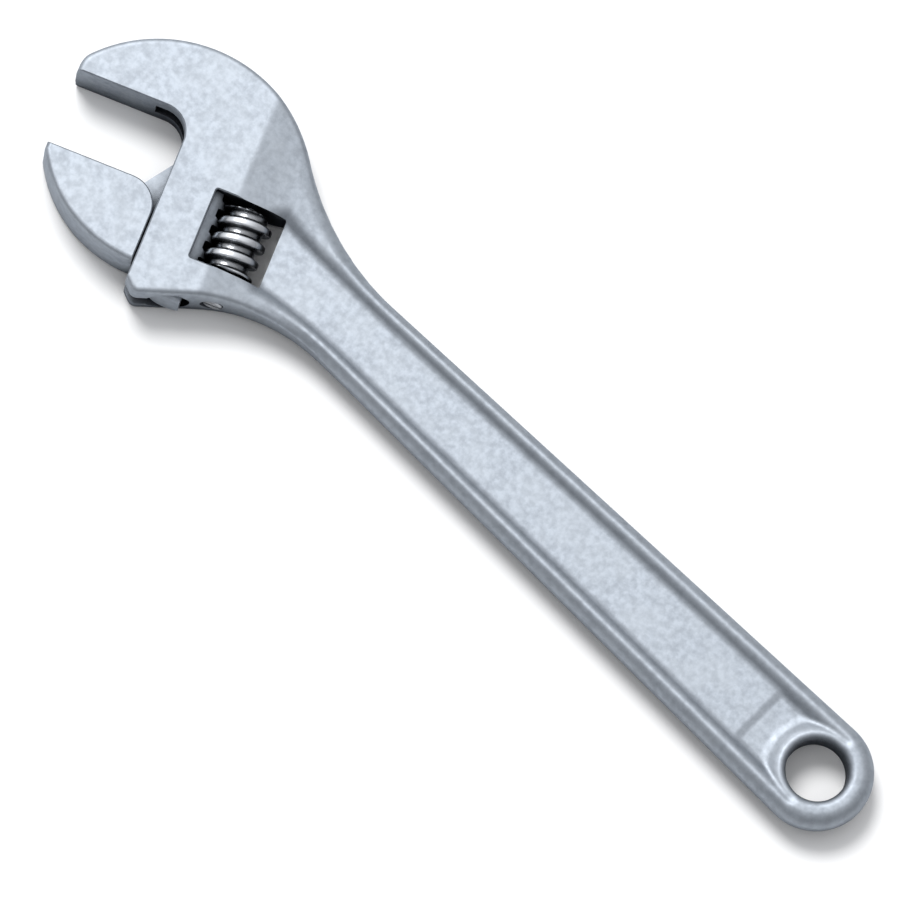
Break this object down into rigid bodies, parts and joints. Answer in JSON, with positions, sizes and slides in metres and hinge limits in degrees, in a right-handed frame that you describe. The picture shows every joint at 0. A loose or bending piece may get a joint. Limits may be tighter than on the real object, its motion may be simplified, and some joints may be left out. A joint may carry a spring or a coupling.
{
  "type": "adjustable wrench",
  "caption": "Adjustable wrench: forged handle and head with a fixed jaw, and a movable jaw whose toothed shank is driven along the head by a worm on a pin.",
  "frame": {"origin": "under the middle of the wrench's bounding box, on the plane of the head's back face", "axes": "+X along the handle towards the hang hole, +Y towards the fixed jaw's side, +Z out of the front face"},
  "size_m": [0.3832, 0.0906, 0.021],
  "materials": {
    "satin_chrome": "satin chrome over a forged skin",
    "satin_chrome_jaw": "satin chrome over a forged skin",
    "worm_chrome": "turned, plated and polished by use on the crests",
    "pin_steel": "turned steel",
    "spring_steel": "drawn spring wire"
  },
  "bodies": {
    "frame": {"wrench_body": "satin_chrome", "worm_pin": "pin_steel"},
    "jaw": {"movable_jaw": "satin_chrome_jaw"},
    "worm": {"adjusting_worm": "worm_chrome", "worm_spring": "spring_steel"}
  },
  "joints": [
    {"name": "worm_spin", "type": "hinge", "parent": "frame", "child": "worm", "pos_m": [-0.1065, -0.0032, 0.0105], "axis": [-0.3827, 0.9239, 0], "range_deg": [-1605, 817]},
    {"name": "jaw_slide", "type": "slide", "parent": "frame", "child": "jaw", "axis": [0.3827, -0.9239, 0], "range_m": [-0.0283, 0.0144]}
  ],
  "couplings": [
    {"joint": "worm_spin", "follows": "jaw_slide", "rad_per_m": 989.48}
  ]
}
